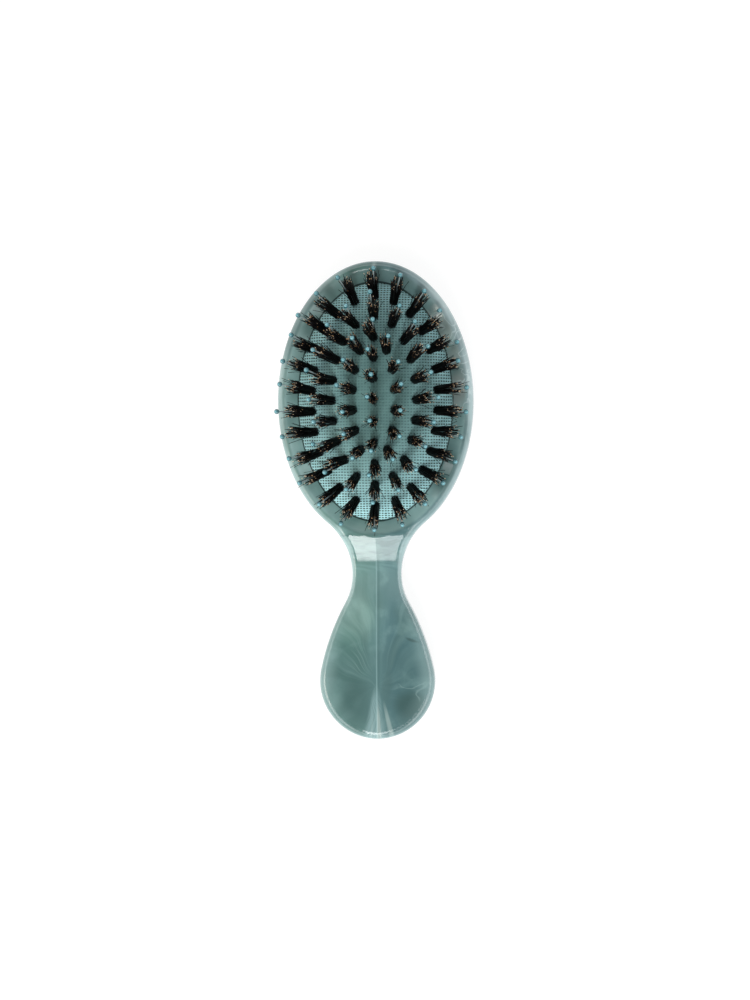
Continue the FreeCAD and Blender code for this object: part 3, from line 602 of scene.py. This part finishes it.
def dome_cap(inset):
    """The upper part of the cushion's ellipsoid, drawn in by an inset, above the cushion's edge."""
    shape = bmesh.new()
    bmesh.ops.create_uvsphere(shape, u_segments=DOME_SECTORS, v_segments=DOME_STEPS, radius=1)
    radii = DOME_RADII - Vector((inset,) * 3)
    bmesh.ops.scale(shape, vec=radii, verts=shape.verts)
    bmesh.ops.translate(shape, vec=DOME_MIDDLE, verts=shape.verts)
    bmesh.ops.bisect_plane(
        shape,
        geom=shape.verts[:] + shape.edges[:] + shape.faces[:],
        dist=WELD,
        plane_co=(0, 0, CUSHION_EDGE),
        plane_no=(0, 0, 1),
        clear_inner=True,
    )
    return shape


def draw_down(shape, outline, drop, growth=0.0):
    """Extrudes an open outline down, and out by a growth from the cushion's middle; returns the new one."""
    made = bmesh.ops.extrude_edge_only(shape, edges=outline)["geom"]
    verts = [one for one in made if isinstance(one, bmesh.types.BMVert)]
    for vert in verts:
        aside = Vector((vert.co.x - CUSHION_MIDDLE.x, vert.co.y - CUSHION_MIDDLE.y, 0))
        vert.co += aside.normalized() * growth - Vector((0, 0, drop))
    return [one for one in made if isinstance(one, bmesh.types.BMEdge)]


def cloth_facing(stands, material):
    """Cloth stretched over the dome, drawn in a little round every tuft, its edge tucked beside the skirt."""
    shape = dome_cap(0)
    roots = np.array([stand.translation for stand in stands])
    for vert in shape.verts:
        nearest = np.linalg.norm(roots - np.array(vert.co), axis=1).min()
        vert.co.z -= DIMPLE_DEPTH * math.exp(-((nearest / DIMPLE_RADIUS) ** 2))
    draw_down(shape, [edge for edge in shape.edges if edge.is_boundary], CLOTH_TUCK)
    threads = shape.loops.layers.uv.new("cloth_mm")
    for face in shape.faces:
        for loop in face.loops:
            offset = loop.vert.co - DOME_MIDDLE
            shares = [max(-1, min(1, offset[side] / DOME_RADII[side])) for side in (0, 1)]
            loop[threads].uv = [DOME_RADII[side] / MM * math.asin(shares[side]) for side in (0, 1)]
    bmesh.ops.recalc_face_normals(shape, faces=shape.faces)
    cloth = finish_piece("cloth_facing_woven", shape, [material], "handle", "woven_cloth", "cloth_facing")
    wall = cloth.modifiers.new("thickness", "SOLIDIFY")
    wall.thickness = CLOTH_THICKNESS
    wall.offset = -1
    return cloth


def rubber_dome(material):
    """Rubber shell under the cloth, with an upright skirt and a bead in the head's groove."""
    shape = dome_cap(RUBBER_INSET)
    outline = [edge for edge in shape.edges if edge.is_boundary]
    bead_out = (rubber_high.x - rubber_low.x) / 2 - CUSHION_HALF.x
    skirt_drop = CUSHION_EDGE - rubber_low.z - BEAD_HEIGHT
    outline = draw_down(shape, outline, skirt_drop)
    outline = draw_down(shape, outline, 0, bead_out)
    outline = draw_down(shape, outline, BEAD_HEIGHT)
    draw_down(shape, outline, 0, -bead_out - RUBBER_THICKNESS)
    bmesh.ops.recalc_face_normals(shape, faces=shape.faces)
    rubber = finish_piece("rubber_dome", shape, [material], "handle", "rubber", "rubber_cushion")
    wall = rubber.modifiers.new("thickness", "SOLIDIFY")
    wall.thickness = RUBBER_THICKNESS / 2
    wall.offset = -1
    return rubber


def add_copy(shape, mesh):
    """Adds a mesh to a bmesh and returns the corners and faces that it brought."""
    corners = len(shape.verts)
    faces = len(shape.faces)
    shape.from_mesh(mesh)
    shape.verts.ensure_lookup_table()
    shape.faces.ensure_lookup_table()
    return shape.verts[corners:], shape.faces[faces:]


def lean(chance, angle):
    """A small random tilt about both level axes."""
    return Matrix.Rotation(chance.gauss(0, angle), 4, "X") @ Matrix.Rotation(chance.gauss(0, angle), 4, "Y")


def straight_strand():
    """One bristle of unit height and radius, three-sided, with rings to bend it at."""
    shape = bmesh.new()
    bmesh.ops.create_cone(
        shape,
        cap_ends=True,
        segments=3,
        radius1=1,
        radius2=STRAND_TAPER_SHARE,
        depth=1,
        matrix=Matrix.Translation((0, 0, 0.5)),
    )
    upright = [edge for edge in shape.edges if abs(edge.verts[0].co.z - edge.verts[1].co.z) > 0.5]
    bmesh.ops.subdivide_edges(shape, edges=upright, cuts=STRAND_CUTS)
    shape.loops.layers.uv.new("strand")
    return keep_mesh("strand", shape)


def bind_strand(shape, strand, shade, bend, root, tip, low, high):
    """Adds a bristle from its root to its tip, leaving the root upright and bending outwards."""
    corners, faces = add_copy(shape, strand)
    layer = shape.loops.layers.uv["strand"]
    for face in faces:
        for loop in face.loops:
            loop[layer].uv = (shade, loop.vert.co.z)
    for corner in corners:
        share = corner.co.z
        middle = root.lerp(tip, share**bend)
        corner.co = Vector((
            middle.x + corner.co.x * STRAND_RADIUS,
            middle.y + corner.co.y * STRAND_RADIUS,
            low + share * (high - low),
        ))


def tuft_master(chance, strand, low, high, root_radius, spread):
    """One tuft at the origin: bristles bound at the root and flared to ragged tips, and a few strays."""
    shape = bmesh.new()
    shape.loops.layers.uv.new("strand")
    for index in range(STRANDS + STRAYS):
        turn = chance.uniform(0, 2 * math.pi)
        ring = math.sqrt(chance.uniform((QUILL_ROOM / root_radius) ** 2, 1))
        out = Vector((math.cos(turn), math.sin(turn)))
        root = out * ring * root_radius
        bend = chance.uniform(*BENDS)
        shade = chance.random()
        if index < STRANDS:
            tip = out * ring * spread * chance.uniform(*TIP_SPREADS)
            tip += Vector((chance.gauss(0, 1), chance.gauss(0, 1))) * spread * TIP_SCATTER
            top = high * (TIP_TOP - TIP_RAGGED * chance.random() ** TIP_RAGGED_POWER - TIP_ROUND * ring**2)
        else:
            tip = out * spread * chance.uniform(*STRAY_SPREADS)
            top = high * chance.uniform(*STRAY_TOPS)
            shade = 0
        bind_strand(shape, strand, shade, bend, root, tip, low, top)
    return keep_mesh("tuft", shape)


def tuft_row(row, stands, masters, chance, material):
    """All tufts of a row: a master at every stand, turned and leaned a little differently each time."""
    shape = bmesh.new()
    shape.loops.layers.uv.new("strand")
    for stand in stands:
        corners, _ = add_copy(shape, chance.choice(masters))
        turn = Matrix.Rotation(chance.uniform(0, 2 * math.pi), 4, "Z")
        bmesh.ops.transform(shape, matrix=stand @ lean(chance, TUFT_LEAN) @ turn, verts=corners)
    finish_piece(f"bristles_{row}", shape, [material], f"{row}_row", "bristle", f"bristle_tufts_{row}_row")


def quill_master(low, high, foot_radius, ball_radius):
    """One quill at the origin: a flat foot with a rounded edge, a tapered shaft and a ball."""
    shape = bmesh.new()
    foot = bmesh.ops.create_cone(
        shape,
        cap_ends=True,
        segments=ROUND_SEGMENTS,
        radius1=foot_radius,
        radius2=foot_radius,
        depth=FOOT_THICKNESS,
        matrix=Matrix.Translation((0, 0, low + FOOT_THICKNESS / 2)),
    )["verts"]
    caps = {face for vert in foot for face in vert.link_faces if len(face.verts) > 4}
    bmesh.ops.bevel(
        shape,
        geom=list({edge for face in caps for edge in face.edges}),
        offset=FOOT_BEVEL,
        affect="EDGES",
        segments=2,
        profile=0.5,
        material=-1,
    )
    shaft_low = low + FOOT_THICKNESS
    shaft_high = high - ball_radius
    bmesh.ops.create_cone(
        shape,
        cap_ends=True,
        segments=ROUND_SEGMENTS,
        radius1=SHAFT_ROOT_RADIUS,
        radius2=SHAFT_TIP_RADIUS,
        depth=shaft_high - shaft_low,
        matrix=Matrix.Translation((0, 0, (shaft_low + shaft_high) / 2)),
    )
    for face in shape.faces:
        face.material_index = 1
    ball = bmesh.ops.create_uvsphere(
        shape,
        u_segments=ROUND_SEGMENTS,
        v_segments=ROUND_SEGMENTS * 2 // 3,
        radius=ball_radius,
        matrix=Matrix.Translation((0, 0, shaft_high)),
    )["verts"]
    # How far out towards its side each corner of the ball lies, for the nylon's painted shade.
    layer = shape.loops.layers.uv.new("ball")
    for vert in ball:
        side = math.hypot(vert.co.x, vert.co.y) / ball_radius if vert.co.z > shaft_high else 1
        for loop in vert.link_loops:
            loop[layer].uv = (side, 0)
    return keep_mesh("quill", shape)


def quill_row(row, stands, master, chance, materials):
    """All quills of a row, each leaned a little."""
    shape = bmesh.new()
    shape.loops.layers.uv.new("ball")
    for stand in stands:
        corners, _ = add_copy(shape, master)
        bmesh.ops.transform(shape, matrix=stand @ lean(chance, QUILL_LEAN), verts=corners)
    finish_piece(f"quills_{row}", shape, materials, f"{row}_row", "nylon_quill", f"quills_{row}_row")


def studio_floor():
    """A sweep just under the brush: white with a faint shadow from above and in reflections, else clear."""
    shape = bmesh.new()
    bmesh.ops.create_grid(shape, x_segments=1, y_segments=1, size=FLOOR_REACH)
    bmesh.ops.translate(shape, vec=(0, 0, handle_low.z - FLOOR_GAP), verts=shape.verts)
    material = bpy.data.materials.new("white_paper_sweep")
    material.use_nodes = True
    tree = material.node_tree
    tree.nodes.clear()
    path = add(tree, "LightPath", {})
    seen = add(tree, "Math", {0: path["Is Camera Ray"], 1: path["Is Glossy Ray"]}, operation="MAXIMUM")[0]
    seen = add(tree, "Math", {0: seen, 1: path["Is Transmission Ray"]}, operation="MAXIMUM")[0]
    below = add(tree, "NewGeometry", {})["Backfacing"]
    seen = add(tree, "Math", {0: seen, 1: below}, operation="GREATER_THAN")[0]
    glow = add(tree, "Emission", {"Color": linear(WHITE), "Strength": FLOOR_GLOW})[0]
    faint = add(tree, "BsdfDiffuse", {"Color": linear("#787878")})[0]
    white = add(tree, "AddShader", {0: glow, 1: faint})[0]
    clear = add(tree, "BsdfTransparent", {})[0]
    both = add(tree, "MixShader", {0: seen, 1: clear, 2: white})[0]
    add(tree, "OutputMaterial", {0: both})
    mesh = keep_mesh("floor", shape)
    mesh.materials.append(material)
    floor = bpy.data.objects.new("floor", mesh)
    bpy.context.scene.collection.objects.link(floor)


def light_tent():
    """Soft walls under a dimmer ceiling, whose glow shows in gloss; white where the camera sees the tent."""
    world = bpy.data.worlds.new("light_tent")
    bpy.context.scene.world = world
    world.use_nodes = True
    tree = world.node_tree
    way = add(tree, "TexCoord", {})["Generated"]
    height = add(tree, "SeparateXYZ", {0: way})[2]
    ramps = []
    for low, high, start, end in TENT_RAMPS:
        ramp = {"Value": height, "From Min": low, "From Max": high, "To Min": start, "To Max": end}
        ramps.append(add(tree, "MapRange", ramp, interpolation_type="SMOOTHSTEP")[0])
    walls, rising, falling = ramps
    path = add(tree, "LightPath", {})
    glow = add(tree, "Math", {0: rising, 1: falling}, operation="MINIMUM")[0]
    tent = add(tree, "Mix", {0: path["Is Glossy Ray"], 2: walls, 3: glow})[0]
    strength = add(tree, "Mix", {0: path["Is Camera Ray"], 2: tent, 3: 1.0})[0]
    background = tree.nodes["Background"]
    background.inputs["Color"].default_value = linear(WHITE)
    tree.links.new(strength, background.inputs["Strength"])


def softbox(name, place, wide, tall, radiance, colour):
    """A soft light at a place that faces the brush."""
    lamp = bpy.data.lights.new(name, "AREA")
    lamp.shape = "RECTANGLE"
    lamp.size = wide
    lamp.size_y = tall
    lamp.energy = radiance * math.pi * wide * tall
    lamp.color = linear(colour)[:3]
    light = bpy.data.objects.new(name, lamp)
    light.location = place
    light.rotation_euler = (-Vector(place)).to_track_quat("-Z", "Y").to_euler()
    light.visible_camera = False
    bpy.context.scene.collection.objects.link(light)


def camera():
    """Looks straight down on the brush from a little to the right."""
    lens = bpy.data.cameras.new("camera")
    lens.sensor_width = SENSOR
    lens.lens = SENSOR * CAMERA_DISTANCE / FRAME_LENGTH
    view = bpy.data.objects.new("camera", lens)
    target = Vector((CAMERA_SHIFT, 0, handle_high.z))
    away = Vector((math.sin(CAMERA_ASIDE), 0, math.cos(CAMERA_ASIDE)))
    turn = Matrix.Rotation(CAMERA_ASIDE, 4, "Y") @ Matrix.Rotation(-CAMERA_ROLL, 4, "Z")
    view.matrix_world = Matrix.Translation(target + away * CAMERA_DISTANCE) @ turn
    bpy.context.scene.collection.objects.link(view)
    bpy.context.scene.camera = view


bpy.context.scene.view_settings.view_transform = "Standard"
camera()
studio_floor()
light_tent()
for name, softbox_values in SOFTBOXES.items():
    softbox(name, *softbox_values)

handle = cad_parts["handle_body"]
handle.data.materials.clear()
handle.data.materials.append(marbled_plastic())

stands = {row: stands_of(row) for row in ROWS}
tuft_reach = reach_of("bristle_tufts_centre_row", stands["centre"][0])
quill = quill_master(*reach_of("quills_centre_row", stands["centre"][0]))
chance = random.Random(SEED)
strand = straight_strand()
masters = [tuft_master(chance, strand, *tuft_reach) for _ in range(TUFT_MASTERS)]
bristle = boar_bristle()
nylon = [tinted_nylon(), clear_nylon()]
for row in ROWS:
    tuft_row(row, stands[row], masters, chance, bristle)
    quill_row(row, stands[row], quill, chance, nylon)

rubber = rubber_dome(natural_rubber())
cloth = cloth_facing([stand for row in ROWS for stand in stands[row]], woven_cloth())
for piece in (rubber, cloth):
    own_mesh(piece)
